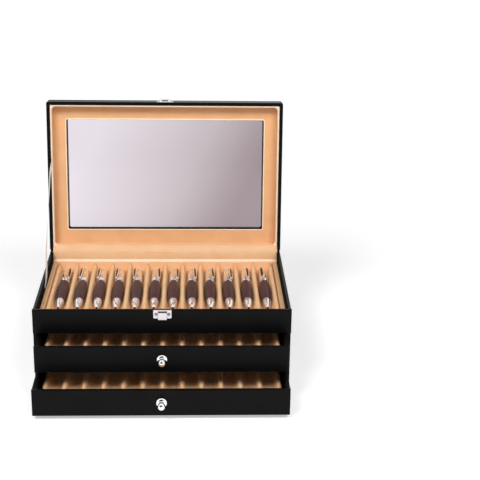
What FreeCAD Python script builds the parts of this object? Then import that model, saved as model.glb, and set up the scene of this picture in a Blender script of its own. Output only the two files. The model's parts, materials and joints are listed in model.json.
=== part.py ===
"""Pen collector chest: a wrapped case with a pen tray under a glazed lid, and two pen drawers.

Frame: X to the right, Y to the rear, Z up, in millimetres.  The origin is the middle of the
base's underside.  The chest stands open: the lid leans back on its fabric hinge, held by the
ribbon stay, and both drawers are pulled out a little.
"""
import FreeCAD, Part
import math
import os
import re
import Sketcher

DIMENSIONS = {
    # carcass of wrapped boards
    "case_width": 300,
    "case_depth": 194,
    "side_inset": 0.6,
    "wall": 3.5,
    "base_thick": 4.5,
    "shelf_thick": 3,
    "shelf_setback": 0.5,
    "top_front_height": 30.1,
    "wrap_radius": 1,
    "plan_radius": 2.5,
    # lining and tray of the top compartment
    "liner_card": 0.8,
    "liner_drop": 0.5,
    "rear_liner_thick": 2,
    "insert_clear": 0.2,
    "top_tray_thick": 3,
    "border_width": 5,
    "border_gap": 0.3,
    "end_ledge": 2.5,
    # pen grooves: concave flanks that run up to a rounded crest
    "grooves": 12,
    "end_ridge": 3.4,
    "crest_radius": 2.75,
    "groove_sink": 0.45,
    # drawers
    "front_height": 32.2,
    "front_thick": 4,
    "front_gap": 1,
    "front_side_clear": 0.5,
    "front_radius": 0.8,
    "run_clear": 0.3,
    "drawer_side": 3,
    "drawer_bottom": 2.5,
    "drawer_back": 3,
    "drawer_rear_clear": 2,
    "side_step": 0.6,
    "drawer_tray_thick": 2.5,
    "tray_side_gap": 3,
    "tray_end_gap": 2.5,
    "middle_pull": 34,
    "bottom_pull": 68,
    # ball knob and the screw that holds it
    "rose_width": 12,
    "rose_thick": 1,
    "flare_length": 2.5,
    "neck_width": 5,
    "ball_width": 9,
    "knob_reach": 13,
    "knob_bore_depth": 6,
    "knob_screw_width": 3,
    "knob_screw_length": 9.5,
    "knob_head_width": 6,
    "knob_head_thick": 1.8,
    "screw_clear": 0.05,
    # lid
    "open_angle": 96,
    "rim_gap": 0.5,
    "lid_height": 20,
    "lid_wall": 4,
    "lid_panel": 4,
    "lid_radius": 1.5,
    "window_side": 25,
    "window_hinge": 27,
    "window_front": 24.5,
    "window_corner": 2,
    "glass_thick": 2,
    "glass_lap": 8,
    "glass_clear": 0.3,
    "mat_thick": 1,
    "mat_reveal": 2,
    "lid_liner": 2.5,
    "liner_recess": 0.8,
    # fabric of the hinge, and the ribbon stay
    "strip_thick": 0.6,
    "strip_leg": 12,
    "strip_inset": 0.6,
    "hinge_lap": 11.5,
    "hinge_inset": 0.5,
    "ribbon_width": 6,
    "ribbon_thick": 0.4,
    "ribbon_place": 86,
    "ribbon_reach": 118,
    "ribbon_drop": 8,
    "ribbon_gap": 0.15,
    # push-button clasp on the case
    "clasp_width": 21,
    "clasp_height": 10.3,
    "clasp_thick": 1,
    "clasp_corner": 1.2,
    "button_width": 10.6,
    "button_height": 9.2,
    "button_drop": 2.3,
    "button_skin": 0.8,
    "button_reach": 3.6,
    "button_travel": 0.6,
    "button_gap": 0.1,
    "button_round": 0.5,
    "guide_clear": 0.2,
    "guide_width": 1.2,
    "guide_height": 4,
    "spring_span": 5.6,
    "spring_width": 3.6,
    "spring_thick": 0.25,
    "pin_width": 1.6,
    "pin_length": 3,
    "pin_head_width": 3,
    "pin_head_thick": 0.9,
    "clasp_pin_spread": 7.3,
    "clasp_pin_drop": 5,
    # hooded catch on the lid
    "catch_width": 20.8,
    "catch_height": 7,
    "catch_thick": 0.9,
    "catch_rise": 0.6,
    "hood_width": 13,
    "hood_height": 5.6,
    "hood_reach": 4.6,
    "hood_round": 1.2,
    "tongue_width": 8,
    "tongue_thick": 0.7,
    "tongue_clear": 0.2,
    "tongue_length": 5,
    "catch_pin_spread": 8.5,
    "catch_pin_rise": 3.6,
    # pens that lie in the top tray
    "pen_length": 138,
    "pen_rear_gap": 7,
    "pen_rest_gap": 0.1,
    "belly_width": 12.8,
    "belly_place": 27,
    "waist_width": 11,
    "grip_width": 9.5,
    "grip_length": 26,
    "nose_width": 2.5,
    "cap_length": 57,
    "cap_width": 11.6,
    "cap_shoulder": 34,
    "cap_shoulder_width": 10.6,
    "cap_end_width": 6,
    "cap_ring": 2,
    "cap_ring_step": 0.3,
    "clip_length": 46,
    "clip_width": 5,
    "clip_thick": 0.8,
    "clip_lift": 1,
    "clip_foot": 4,
}

WORKED_OUT = {
    # carcass
    "half_width": "case_width / 2",
    "front_face": "-case_depth / 2",
    "rear_face": "case_depth / 2",
    "side_outer": "half_width - side_inset",
    "side_inner": "side_outer - wall",
    "front_inner": "front_face + wall",
    "back_inner": "rear_face - wall",
    "bay": "front_height + 2 * front_gap",
    "low_shelf_under": "base_thick + bay",
    "low_shelf_top": "low_shelf_under + shelf_thick",
    "top_shelf_under": "low_shelf_top + bay",
    "top_shelf_top": "top_shelf_under + shelf_thick",
    "rim": "top_shelf_under + top_front_height",
    # pen grooves
    "groove_pitch": "2 * (top_tray_side - end_ridge) / grooves",
    "half_pitch": "groove_pitch / 2",
    "groove_radius": "half_pitch - crest_radius",
    "flank_centre": "groove_radius - groove_sink",
    "ridge_height": "half_pitch - groove_sink",
    "ridge_foot": "half_pitch - sqrt(groove_radius^2 - flank_centre^2)",
    # top compartment
    "room_side": "side_inner - liner_card",
    "room_front": "front_inner + liner_card",
    "room_rear": "back_inner - rear_liner_thick",
    "liner_top": "rim - liner_drop",
    "insert_side": "room_side - insert_clear",
    "insert_front": "room_front + insert_clear",
    "insert_rear": "room_rear - insert_clear",
    "border_inner": "insert_side - border_width",
    "top_tray_side": "border_inner - border_gap",
    "top_tray_floor": "top_shelf_top + top_tray_thick",
    "border_top": "top_tray_floor + ridge_height",
    "top_ridge_front": "insert_front + end_ledge + border_gap",
    "top_ridge_rear": "insert_rear - end_ledge - border_gap",
    "first_groove": "-(grooves - 1) * half_pitch",
    # drawers: heights are above the floor of their bay
    "front_half": "side_inner - front_side_clear",
    "front_back": "front_face + front_thick",
    "front_top": "front_gap + front_height",
    "drawer_outer": "front_half - run_clear",
    "drawer_inner": "drawer_outer - drawer_side",
    "drawer_rear": "back_inner - drawer_rear_clear",
    "back_front": "drawer_rear - drawer_back",
    "drawer_top": "front_top - side_step",
    "drawer_floor": "front_gap + drawer_bottom",
    "drawer_tray_side": "drawer_inner - tray_side_gap",
    "drawer_tray_front": "front_back + tray_end_gap",
    "drawer_tray_rear": "back_front - tray_end_gap",
    "drawer_tray_floor": "drawer_floor + drawer_tray_thick",
    "knob_height": "front_gap + front_height / 2",
    "ball_centre": "knob_reach - ball_width / 2",
    "neck_end": "ball_centre - sqrt(ball_width^2 - neck_width^2) / 2",
    # lid, in its own frame: X as the case, -Y from the hinge axis to the lid's front, Z up when shut
    "hinge_height": "rim + rim_gap / 2",
    "lid_low": "rim_gap / 2",
    "lid_high": "lid_low + lid_height",
    "panel_under": "lid_high - lid_panel",
    "lid_front": "-case_depth",
    "lid_front_inner": "lid_front + lid_wall",
    "lid_side_inner": "half_width - lid_wall",
    "window_half": "half_width - window_side",
    "window_near": "lid_front + window_front",
    "glass_top": "panel_under + glass_thick",
    "mat_under": "panel_under - mat_thick",
    "mat_half": "window_half + mat_reveal",
    "mat_rear_edge": "-window_hinge + mat_reveal",
    "lid_liner_low": "lid_low + liner_recess",
    "hinge_half": "min(room_side; lid_side_inner - lid_liner) - hinge_inset",
    # clasp and catch
    "clasp_low": "rim - clasp_height",
    "plate_face": "front_face - clasp_thick",
    "button_top": "rim - button_drop",
    "button_low": "button_top - button_height",
    "button_face": "front_face - button_reach",
    "skin_back": "button_face + button_skin",
    "button_back": "plate_face - button_travel - button_gap",
    "guide_face": "skin_back + button_travel + button_gap",
    "guide_low": "button_low + button_skin + guide_clear",
    "guide_half": "button_width / 2 - button_skin - guide_clear",
    "spring_rise": "plate_face - skin_back",
    "spring_radius": "(spring_span^2 / 4 + spring_rise^2) / (2 * spring_rise)",
    "spring_inner_radius": "spring_radius - spring_thick",
    "catch_low": "lid_low + catch_rise",
    "catch_face": "lid_front - catch_thick",
    "tongue_back": "lid_front - clasp_thick - tongue_clear",
    # pens
    "pen_axis": "top_tray_floor + belly_width / 2 + pen_rest_gap",
    "pen_rear": "top_ridge_rear - pen_rear_gap",
    "pen_tip": "pen_rear - pen_length",
    "cap_front": "pen_rear - cap_length",
    "grip_rear": "pen_tip + grip_length",
}

doc = FreeCAD.newDocument("pen_chest")
dims = doc.addObject("Spreadsheet::Sheet", "dims")
at = doc.addObject("Spreadsheet::Sheet", "at")
trial = doc.addObject("Spreadsheet::Sheet", "trial")
sub_parts = []

CASE = "case"
LID = "lid"
MIDDLE = "middle_"
BOTTOM = "bottom_"
ORIGIN = (-1, 1)
TINY = 1e-4
PEN_SIDES = 12
KNOB_SIDES = 16
PIN_SIDES = 10


def in_sheets(formula):
    """The formula with each name led by the sheet that holds it."""
    def led(found):
        name = found.group()
        if name in DIMENSIONS:
            return "dims." + name
        if name in WORKED_OUT:
            return "at." + name
        return name
    return re.sub(r"[a-z_]+", led, str(formula))


def number(formula):
    """What a formula comes to, worked out by a sheet."""
    trial.set("A1", "=" + in_sheets(formula))
    trial.recompute()
    return float(trial.get("A1"))


def bind(thing, setting, formula):
    thing.setExpression(setting, in_sheets(formula))


def fill_sheets():
    for row, (name, size) in enumerate(DIMENSIONS.items(), 1):
        dims.set("A%d" % row, name)
        dims.set("B%d" % row, str(size))
        dims.setAlias("B%d" % row, name)
    for row, name in enumerate(WORKED_OUT, 1):
        at.set("A%d" % row, name)
        at.setAlias("B%d" % row, name)
    for row, formula in enumerate(WORKED_OUT.values(), 1):
        at.set("B%d" % row, "=" + in_sheets(formula).replace("at.", ""))
    doc.recompute()


# ---- bodies, sketches and features ----------------------------------------------------------

def new_body(node, frame):
    """An empty body, placed where its frame stands: case, lid or one of the drawers."""
    body = doc.addObject("PartDesign::Body", node)
    body.Label = node
    if frame == LID:
        hinge = FreeCAD.Rotation(FreeCAD.Vector(-1, 0, 0), 90)
        body.Placement = FreeCAD.Placement(FreeCAD.Vector(), hinge)
        bind(body, "Placement.Rotation.Angle", "open_angle")
        bind(body, "Placement.Base.y", "rear_face")
        bind(body, "Placement.Base.z", "hinge_height")
    if frame == MIDDLE:
        bind(body, "Placement.Base.y", "-middle_pull")
        bind(body, "Placement.Base.z", "low_shelf_top")
    if frame == BOTTOM:
        bind(body, "Placement.Base.y", "-bottom_pull")
        bind(body, "Placement.Base.z", "base_thick")
    sub_parts.append(body)
    return body


def new_feature(body, kind, **settings):
    feature = body.newObject("PartDesign::" + kind, body.Name + "_" + kind.lower())
    for name, value in settings.items():
        setattr(feature, name, value)
    body.Tip = feature
    return feature


def origin_of(body, role):
    return next(f for f in body.Origin.OriginFeatures if f.Role == role)


def new_sketch(body, plane, x=0, y=0, lift=0):
    """A sketch on an origin plane, its own origin moved in the plane and lifted off it."""
    sketch = body.newObject("Sketcher::SketchObject", body.Name + "_sketch")
    sketch.AttachmentSupport = (origin_of(body, plane), [""])
    sketch.MapMode = "FlatFace"
    bind(sketch, "AttachmentOffset.Base.x", x)
    bind(sketch, "AttachmentOffset.Base.y", y)
    bind(sketch, "AttachmentOffset.Base.z", lift)
    return sketch


def hold(sketch, kind, element, formula):
    """A dimension from the sketch's origin, or of the element itself, bound to its formula."""
    where = (*ORIGIN, *element) if kind.startswith("Distance") else element
    index = sketch.addConstraint(Sketcher.Constraint(kind, *where, number(formula)))
    bind(sketch, "Constraints[%d]" % index, formula)


def arc_between(start, end, radius, side):
    """The short arc from start to end that bulges to the left (1) or right (-1) of the way."""
    chord = end - start
    middle = (start + end) / 2
    left = FreeCAD.Vector(-chord.y, chord.x, 0).normalize()
    centre = middle - left * side * math.sqrt(radius ** 2 - (chord.Length / 2) ** 2)
    circle = Part.Circle(centre, FreeCAD.Vector(0, 0, 1), radius)
    first, last = (end, start) if side > 0 else (start, end)
    angles = [math.atan2(p.y - centre.y, p.x - centre.x) for p in (first, last)]
    return Part.ArcOfCircle(circle, angles[0], angles[1])


def outline(sketch, corners):
    """Close a loop through corners (x, y), or (x, y, radius, side) at the end of an arc."""
    points = [FreeCAD.Vector(number(c[0]), number(c[1]), 0) for c in corners]
    ends = []
    for n, corner in enumerate(corners):
        start, end = points[n - 1], points[n]
        if len(corner) == 2:
            ends.append((sketch.addGeometry(Part.LineSegment(start, end), False), 1, 2))
            continue
        radius, side = corner[2:]
        arc = sketch.addGeometry(arc_between(start, end, number(radius), side), False)
        ends.append((arc, 2, 1) if side > 0 else (arc, 1, 2))
        hold(sketch, "Radius", (arc,), radius)
    for n, corner in enumerate(corners):
        edge, _, finish = ends[n]
        following, begin, _ = ends[(n + 1) % len(corners)]
        sketch.addConstraint(Sketcher.Constraint("Coincident", edge, finish, following, begin))
        hold(sketch, "DistanceX", (edge, finish), corner[0])
        hold(sketch, "DistanceY", (edge, finish), corner[1])


def rectangle(sketch, x, y):
    outline(sketch, [(x[0], y[0]), (x[1], y[0]), (x[1], y[1]), (x[0], y[1])])


def circles(sketch, spots, width):
    for x, y in spots:
        centre = FreeCAD.Vector(number(x), number(y), 0)
        circle = Part.Circle(centre, FreeCAD.Vector(0, 0, 1), number(width) / 2)
        index = sketch.addGeometry(circle, False)
        hold(sketch, "Radius", (index,), "(%s) / 2" % width)
        hold(sketch, "DistanceX", (index, 3), x)
        hold(sketch, "DistanceY", (index, 3), y)


def pad(body, sketch, length):
    feature = new_feature(body, "Pad", Profile=sketch)
    bind(feature, "Length", length)
    return feature


def pocket(body, sketch, length):
    """Cut a sketch's outline into the body, away from the side its plane faces."""
    doc.recompute()
    before = body.Shape.Volume
    feature = new_feature(body, "Pocket", Profile=sketch)
    bind(feature, "Length", length)
    doc.recompute()
    if body.Shape.Volume >= before:
        raise RuntimeError(body.Label + ": a pocket cut nothing")
    return feature


def slab(node, frame, x, y, z):
    """A flat board or card between two limits along each axis."""
    body = new_body(node, frame)
    sketch = new_sketch(body, "XY_Plane", lift=z[0])
    rectangle(sketch, x, y)
    pad(body, sketch, "(%s) - (%s)" % (z[1], z[0]))
    return body


def prism(node, frame, x, corners):
    """A profile of (y, z) corners carried along X."""
    body = new_body(node, frame)
    sketch = new_sketch(body, "YZ_Plane", lift=x[0])
    outline(sketch, corners)
    pad(body, sketch, "(%s) - (%s)" % (x[1], x[0]))
    return body


def plate(body, face, x, z, thick):
    """Add a block to the body: it rises from an upright face at y = face towards the front."""
    sketch = new_sketch(body, "XZ_Plane", lift="-(%s)" % face)
    rectangle(sketch, x, z)
    return pad(body, sketch, thick)


def bore(body, face, spots, width, depth):
    """Drill round holes to the rear from an upright face at y = face."""
    sketch = new_sketch(body, "XZ_Plane", lift="-(%s)" % face)
    circles(sketch, spots, width)
    pocket(body, sketch, depth)


def ring(body, x, z, y, width, sides):
    """A sketch of a regular polygon across the Y axis at y, its corners on a circle of that width."""
    sketch = new_sketch(body, "XZ_Plane", x=x, y=z, lift="-(%s)" % y)
    radius = number(width) / 2
    axis = FreeCAD.Vector(0, 0, 1)
    circle = sketch.addGeometry(Part.Circle(FreeCAD.Vector(), axis, radius), True)
    sketch.addConstraint(Sketcher.Constraint("Coincident", circle, 3, *ORIGIN))
    hold(sketch, "Radius", (circle,), "(%s) / 2" % width)
    turns = [2 * math.pi * n / sides for n in range(sides + 1)]
    corners = [FreeCAD.Vector(radius * math.sin(t), radius * math.cos(t), 0) for t in turns]
    edges = [sketch.addGeometry(Part.LineSegment(a, b), False) for a, b in zip(corners, corners[1:])]
    for n, edge in enumerate(edges):
        sketch.addConstraint(Sketcher.Constraint("Coincident", edges[n - 1], 2, edge, 1))
        sketch.addConstraint(Sketcher.Constraint("PointOnObject", edge, 1, circle))
        if n > 0:
            sketch.addConstraint(Sketcher.Constraint("Equal", edges[0], edge))
    # geometry -2 is the sketch's own upright axis
    sketch.addConstraint(Sketcher.Constraint("PointOnObject", edges[0], 1, -2))
    return sketch


def turned(node, frame, x, y, z, rings, sides):
    """A round piece about an axis along Y through x, z; its rings are (width, place past y).

    Each stretch between two rings is a straight pad with flat sides, drafted from its wide end.
    The widest stretches come first, so a drafted one grows from a face as wide as its foot.
    """
    body = new_body(node, frame)
    stretches = sorted(zip(rings, rings[1:]), key=lambda ends: -max(number(w) for w, _ in ends))
    for (front, start), (rear, end) in stretches:
        widens = number(front) < number(rear)
        wide, narrow, held = (rear, front, end) if widens else (front, rear, start)
        stretch = pad(body, ring(body, x, z, "%s + (%s)" % (y, end), wide, sides),
                      "(%s) - (%s)" % (end, start))
        stretch.Refine = False
        if number(wide) - number(narrow) > TINY:
            doc.recompute()
            middle = number("%s + ((%s) + (%s)) / 2" % (y, start, end))
            flats = ["Face%d" % n for n, face in enumerate(stretch.Shape.Faces, 1)
                     if abs(face.CenterOfMass.y - middle) < TINY and abs(face.normalAt(0, 0).y) < TINY]
            across = body.newObject("PartDesign::Plane", body.Name + "_plane")
            across.AttachmentSupport = (origin_of(body, "XZ_Plane"), [""])
            across.MapMode = "FlatFace"
            bind(across, "AttachmentOffset.Base.z", "-(%s + (%s))" % (y, held))
            draft = new_feature(body, "Draft", Base=(stretch, flats), NeutralPlane=(across, [""]),
                                Reversed=not widens, Refine=False)
            bind(draft, "Angle", "atan(((%s) - (%s)) / 2 * cos(180 / %d) / ((%s) - (%s)))"
                 % (wide, narrow, sides, end, start))
            doc.recompute()
    return body


def stepped_pins(node, frame, spots, steps):
    """Pins along Y at each spot; every step is (the rear face it starts from, width, length)."""
    body = new_body(node, frame)
    for x, z in spots:
        for rear, width, length in steps:
            pad(body, ring(body, x, z, rear, width, PIN_SIDES), length)


def repeat(body, spacing, count):
    """Repeat the whole body along X."""
    doc.recompute()
    pattern = new_feature(body, "LinearPattern", TransformMode="Whole shape",
                          Direction=(origin_of(body, "X_Axis"), [""]))
    bind(pattern, "Length", "(%s) * (%s - 1)" % (spacing, count))
    bind(pattern, "Occurrences", count)
    return body


def round_edges(body, radius, *places):
    """Round the edges that lie wholly on the coordinates each place names, such as x and z."""
    doc.recompute()
    shape = body.Tip.Shape
    chosen = []
    for place in places:
        limits = {axis.upper(): number(value) for axis, value in place.items()}
        for n, edge in enumerate(shape.Edges, 1):
            box = edge.BoundBox
            spans = [(getattr(box, a + "Min"), getattr(box, a + "Max"), v) for a, v in limits.items()]
            if all(abs(low - v) < 1e-4 and abs(high - v) < 1e-4 for low, high, v in spans):
                chosen.append("Edge%d" % n)
    if len(chosen) < len(places):
        raise RuntimeError(body.Label + ": an edge to round is missing")
    last = body.Tip
    fillet = new_feature(body, "Fillet", Base=(last, chosen))
    bind(fillet, "Radius", radius)
    return body


# ---- carcass --------------------------------------------------------------------------------

def make_carcass():
    sides = (("case_side_left", ("-side_outer", "-side_inner"), "-side_outer"),
             ("case_side_right", ("side_inner", "side_outer"), "side_outer"))
    profile = [("front_face", "base_thick"), ("back_inner", "base_thick"), ("back_inner", "rim"),
               ("front_inner", "rim"), ("front_inner", "top_shelf_under"),
               ("front_face", "top_shelf_under")]
    for node, x, outer in sides:
        side = prism(node, CASE, x, profile)
        round_edges(side, "wrap_radius", {"x": outer, "z": "rim"})
    back = slab("case_back", CASE, ("-side_outer", "side_outer"), ("back_inner", "rear_face"),
                ("base_thick", "rim"))
    round_edges(back, "plan_radius", {"x": "-side_outer", "y": "rear_face"},
                {"x": "side_outer", "y": "rear_face"})
    round_edges(back, "wrap_radius", {"y": "rear_face", "z": "rim"})
    base = slab("case_base", CASE, ("-side_outer", "side_outer"), ("front_face", "rear_face"),
                (0, "base_thick"))
    round_edges(base, "plan_radius", {"x": "-side_outer", "y": "rear_face"},
                {"x": "side_outer", "y": "rear_face"})
    front = slab("top_front_panel", CASE, ("-half_width", "half_width"),
                 ("front_face", "front_inner"), ("top_shelf_under", "rim"))
    round_edges(front, "wrap_radius", {"x": "-half_width", "y": "front_face"},
                {"x": "half_width", "y": "front_face"}, {"y": "front_face", "z": "rim"},
                {"y": "front_face", "z": "top_shelf_under"})
    bore(front, "front_face", clasp_pin_spots(), "pin_width", "pin_length - clasp_thick")
    shelf_x = ("-side_inner", "side_inner")
    slab("top_shelf", CASE, shelf_x, ("front_inner", "back_inner"),
         ("top_shelf_under", "top_shelf_top"))
    slab("drawer_shelf", CASE, shelf_x, ("front_face + shelf_setback", "back_inner"),
         ("low_shelf_under", "low_shelf_top"))


def make_lining():
    lining_z = ("top_shelf_top", "liner_top")
    lining_y = ("front_inner", "back_inner")
    slab("compartment_liner_left", CASE, ("-side_inner", "-room_side"), lining_y, lining_z)
    slab("compartment_liner_right", CASE, ("room_side", "side_inner"), lining_y, lining_z)
    room_x = ("-room_side", "room_side")
    slab("compartment_liner_front", CASE, room_x, ("front_inner", "room_front"), lining_z)
    slab("case_rear_liner", CASE, room_x, ("room_rear", "back_inner"), lining_z)


# ---- pen trays ------------------------------------------------------------------------------

def make_dividers(node, frame, floor, y, side, grooves):
    """Ridges between the grooves; the two outer ones are cut off at the tray's edge."""
    body = new_body(node, frame)
    sketch = new_sketch(body, "XZ_Plane", x="-(%s) * half_pitch" % grooves, y=floor,
                        lift="-(%s)" % y[1])
    outline(sketch, [("ridge_foot", 0), ("crest_radius", "flank_centre", "groove_radius", 1),
                     (0, "ridge_height", "crest_radius", -1),
                     ("-crest_radius", "flank_centre", "crest_radius", -1),
                     ("-ridge_foot", 0, "groove_radius", 1)])
    pad(body, sketch, "(%s) - (%s)" % (y[1], y[0]))
    repeat(body, "groove_pitch", "%s + 1" % grooves)
    edge = new_sketch(body, "XZ_Plane", y=floor, lift="-(%s)" % y[0])
    for inner, outer in ((side, "%s + groove_pitch" % side), ("-%s - groove_pitch" % side, "-" + side)):
        rectangle(edge, (inner, outer), (0, "groove_pitch"))
    pocket(body, edge, "(%s) - (%s)" % (y[1], y[0]))


def make_top_tray():
    slab("top_tray_base", CASE, ("-insert_side", "insert_side"), ("insert_front", "insert_rear"),
         ("top_shelf_top", "top_tray_floor"))
    border = new_body("top_tray_border", CASE)
    sketch = new_sketch(border, "XY_Plane", lift="top_tray_floor")
    long_y = ("insert_front", "insert_rear")
    short_x = ("-top_tray_side", "top_tray_side")
    rectangle(sketch, ("-insert_side", "-border_inner"), long_y)
    rectangle(sketch, ("border_inner", "insert_side"), long_y)
    rectangle(sketch, short_x, ("insert_front", "insert_front + end_ledge"))
    rectangle(sketch, short_x, ("insert_rear - end_ledge", "insert_rear"))
    pad(border, sketch, "border_top - top_tray_floor")
    make_dividers("top_tray_dividers", CASE, "top_tray_floor",
                  ("top_ridge_front", "top_ridge_rear"), "top_tray_side", "grooves")


# ---- pens -----------------------------------------------------------------------------------

def make_pens():
    def row_of(node, start, rings):
        body = turned(node, CASE, "first_groove", start, "pen_axis", rings, PEN_SIDES)
        repeat(body, "groove_pitch", "grooves")

    row_of("pen_barrels", "cap_front",
           [("grip_width", "grip_rear - cap_front"), ("belly_width", "-belly_place"),
            ("waist_width", 0)])
    row_of("pen_tips", "pen_tip", [("nose_width", 0), ("grip_width", "grip_length")])
    row_of("pen_caps", "cap_front",
           [("cap_width", 0), ("cap_width", "cap_ring"), ("cap_shoulder_width", "cap_shoulder"),
            ("cap_end_width", "cap_length")])
    clips = new_body("pen_clips", CASE)
    sketch = new_sketch(clips, "YZ_Plane", y="pen_axis", lift="first_groove - clip_width / 2")
    foot = "cap_front + clip_length"
    inner = "cap_width / 2 + clip_lift"
    outer = inner + " + clip_thick"
    outline(sketch, [("cap_front + 2 * cap_ring", inner), (foot + " - clip_foot", inner),
                     (foot + " - clip_foot", "cap_width / 2"), (foot, "cap_width / 2 - cap_ring_step"),
                     (foot, outer), ("cap_front + 2 * cap_ring", outer)])
    pad(clips, sketch, "clip_width")
    repeat(clips, "groove_pitch", "grooves")


# ---- drawers --------------------------------------------------------------------------------

def make_drawer(level):
    """One drawer, in a frame whose floor is the bay's and whose front is shut."""
    front_x = ("-front_half", "front_half")
    knob_spot = (("0", "knob_height"),)
    front = slab(level + "drawer_front", level, front_x, ("front_face", "front_back"),
                 ("front_gap", "front_top"))
    bore(front, "front_face", knob_spot, "knob_screw_width + 2 * screw_clear", "front_thick")
    round_edges(front, "front_radius", {"x": "-front_half", "y": "front_face"},
                {"x": "front_half", "y": "front_face"}, {"y": "front_face", "z": "front_top"},
                {"y": "front_face", "z": "front_gap"})
    side_y = ("front_back", "drawer_rear")
    side_z = ("run_clear", "drawer_top")
    slab(level + "drawer_side_left", level, ("-drawer_outer", "-drawer_inner"), side_y, side_z)
    slab(level + "drawer_side_right", level, ("drawer_inner", "drawer_outer"), side_y, side_z)
    inner_x = ("-drawer_inner", "drawer_inner")
    slab(level + "drawer_back", level, inner_x, ("back_front", "drawer_rear"),
         ("front_gap", "drawer_top"))
    slab(level + "drawer_bottom", level, inner_x, ("front_back", "back_front"),
         ("front_gap", "drawer_floor"))
    tray_y = ("drawer_tray_front", "drawer_tray_rear")
    slab(level + "tray_base", level, ("-drawer_tray_side", "drawer_tray_side"), tray_y,
         ("drawer_floor", "drawer_tray_floor"))
    make_dividers(level + "tray_dividers", level, "drawer_tray_floor", tray_y,
                  "drawer_tray_side", "grooves")
    make_knob(level)


def make_knob(level):
    """A ball on a neck that flares into a rose, and the screw that holds it from inside."""
    ball = [("ball_width * sin(%d)" % turn, "-ball_centre - ball_width / 2 * cos(%d)" % turn)
            for turn in (14, 40, 65, 90, 118)]
    flare = [("neck_width + (rose_width - neck_width) * (1 - cos(%d))" % turn,
              "-rose_thick - flare_length * (1 - sin(%d))" % turn) for turn in (0, 35, 65, 90)]
    rings = ball + [("neck_width", "-neck_end")] + flare + [("rose_width", 0)]
    knob = turned(level + "knob", level, 0, "front_face", "knob_height", rings, KNOB_SIDES)
    bore(knob, "front_face - knob_bore_depth", (("0", "knob_height"),),
         "knob_screw_width + 2 * screw_clear", "knob_bore_depth")
    stepped_pins(level + "knob_screw", level, (("0", "knob_height"),),
                 (("front_back", "knob_screw_width", "knob_screw_length"),
                  ("front_back + knob_head_thick", "knob_head_width", "knob_head_thick")))


# ---- lid ------------------------------------------------------------------------------------

def make_lid():
    wall_z = ("lid_low", "panel_under")
    full_x = ("-half_width", "half_width")
    side_y = ("lid_front_inner", "-lid_wall")
    front = slab("lid_wall_front", LID, full_x, ("lid_front", "lid_front_inner"), wall_z)
    bore(front, "lid_front", catch_pin_spots(), "pin_width", "pin_length - catch_thick")
    rear = slab("lid_wall_rear", LID, full_x, ("-lid_wall", 0), wall_z)
    for wall, y in ((front, "lid_front"), (rear, 0)):
        round_edges(wall, "plan_radius", {"x": "-half_width", "y": y}, {"x": "half_width", "y": y})
    slab("lid_wall_left", LID, ("-half_width", "-lid_side_inner"), side_y, wall_z)
    slab("lid_wall_right", LID, ("lid_side_inner", "half_width"), side_y, wall_z)
    make_lid_frame(full_x)
    make_lid_lining()


def make_lid_frame(full_x):
    """The lid's top panel, with its window and the rebate that the glass lies in."""
    frame = slab("lid_frame", LID, full_x, ("lid_front", 0), ("panel_under", "lid_high"))
    window = new_sketch(frame, "XY_Plane", lift="lid_high")
    rectangle(window, ("-window_half", "window_half"), ("window_near", "-window_hinge"))
    pocket(frame, window, "lid_panel")
    corners = [{"x": x, "y": y} for x in ("-window_half", "window_half")
               for y in ("window_near", "-window_hinge")]
    round_edges(frame, "window_corner", *corners)
    lap = "(glass_lap + glass_clear)"
    rebate = new_sketch(frame, "XY_Plane", lift="glass_top")
    rectangle(rebate, ("-window_half - " + lap, "window_half + " + lap),
              ("window_near - " + lap, "-window_hinge + " + lap))
    pocket(frame, rebate, "glass_thick")
    corners = [{"x": x, "y": y} for x in full_x for y in ("lid_front", 0)]
    round_edges(frame, "plan_radius", *corners)
    rims = [{"z": "lid_high", "y": y} for y in ("lid_front", 0)]
    rims += [{"z": "lid_high", "x": x} for x in full_x]
    round_edges(frame, "lid_radius", *rims)
    slab("lid_glass", LID, ("-window_half - glass_lap", "window_half + glass_lap"),
         ("window_near - glass_lap", "-window_hinge + glass_lap"), ("panel_under", "glass_top"))


def make_lid_lining():
    """The mat card around the window and the padded strips on the lid's inner walls."""
    mat = slab("lid_mat", LID, ("-lid_side_inner + insert_clear", "lid_side_inner - insert_clear"),
               ("lid_front_inner + insert_clear", "-lid_wall - insert_clear"),
               ("mat_under", "panel_under"))
    opening = new_sketch(mat, "XY_Plane", lift="panel_under")
    rectangle(opening, ("-mat_half", "mat_half"), ("window_near", "mat_rear_edge"))
    pocket(mat, opening, "mat_thick")
    liner_z = ("lid_liner_low", "mat_under")
    long_x = ("-lid_side_inner", "lid_side_inner")
    slab("lid_liner_front", LID, long_x, ("lid_front_inner", "lid_front_inner + lid_liner"), liner_z)
    slab("lid_liner_rear", LID, long_x, ("-lid_wall - lid_liner", "-lid_wall"), liner_z)
    short_y = ("lid_front_inner + lid_liner", "-lid_wall - lid_liner")
    slab("lid_liner_left", LID, ("-lid_side_inner", "-lid_side_inner + lid_liner"), short_y, liner_z)
    slab("lid_liner_right", LID, ("lid_side_inner - lid_liner", "lid_side_inner"), short_y, liner_z)


# ---- fabric hinge and ribbon stay -----------------------------------------------------------

def opened(y, z):
    """Where a point of the lid's own frame stands with the lid open, as (y, z) formulas."""
    return ("rear_face + (%s) * cos(open_angle) + (%s) * sin(open_angle)" % (y, z),
            "hinge_height - (%s) * sin(open_angle) + (%s) * cos(open_angle)" % (y, z))


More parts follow.
